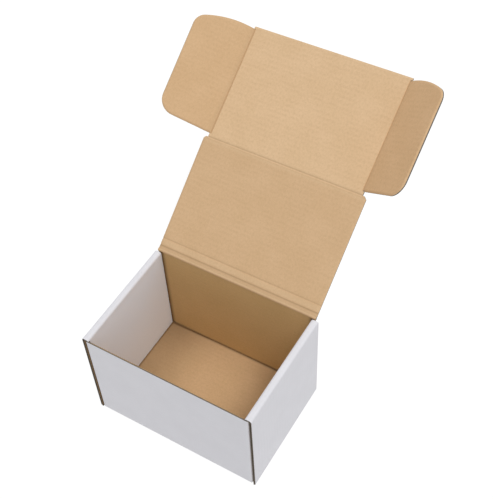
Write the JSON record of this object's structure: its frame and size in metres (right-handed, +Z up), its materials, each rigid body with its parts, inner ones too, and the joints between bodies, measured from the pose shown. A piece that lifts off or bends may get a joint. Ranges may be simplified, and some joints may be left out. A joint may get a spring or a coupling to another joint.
{
  "type": "corrugated mailer box",
  "caption": "Open mailer box folded from one corrugated sheet: double side walls rolled over their tops and a hinged lid with a tuck flap and dust ears.",
  "frame": {"origin": "middle of the underside of the box, on the surface that it stands on", "axes": "+Z up, +X across the box to the right seen from its front, +Y from the front wall to the back wall with the lid's crease"},
  "size_m": [0.3444, 0.4168, 0.3717],
  "materials": {
    "tray_board": "white liner outside, brown kraft inside",
    "lid_board": "brown kraft inside, white liner outside",
    "flap_board": "brown kraft inside, white liner outside",
    "ear_board": "brown kraft inside, white liner outside"
  },
  "bodies": {
    "tray": {"tray": "tray_board"},
    "lid": {"lid_panel": "lid_board"},
    "flap": {"front_flap": "flap_board"},
    "left_ear": {"left_ear": "ear_board"},
    "right_ear": {"right_ear": "ear_board"}
  },
  "joints": [
    {"name": "lid_crease", "type": "hinge", "parent": "tray", "child": "lid", "pos_m": [0, 0.081, 0.1577], "axis": [1, 0, 0], "range_deg": [-37.3, 142.7]},
    {"name": "flap_crease", "type": "hinge", "parent": "lid", "child": "flap", "pos_m": [0, 0.20708, 0.25375], "axis": [1, 0, 0], "range_deg": [-15, 92.7]},
    {"name": "left_ear_crease", "type": "hinge", "parent": "flap", "child": "left_ear", "pos_m": [-0.1087, 0.20708, 0.25375], "axis": [0, 0.8231, 0.5678], "range_deg": [-10.6, 65]},
    {"name": "right_ear_crease", "type": "hinge", "parent": "flap", "child": "right_ear", "pos_m": [0.1087, 0.20708, 0.25375], "axis": [0, -0.8231, -0.5678], "range_deg": [-7.8, 48]}
  ],
  "couplings": [
    {"joint": "left_ear_crease", "follows": "flap_crease", "ratio": 0.7011},
    {"joint": "right_ear_crease", "follows": "flap_crease", "ratio": 0.5177}
  ]
}
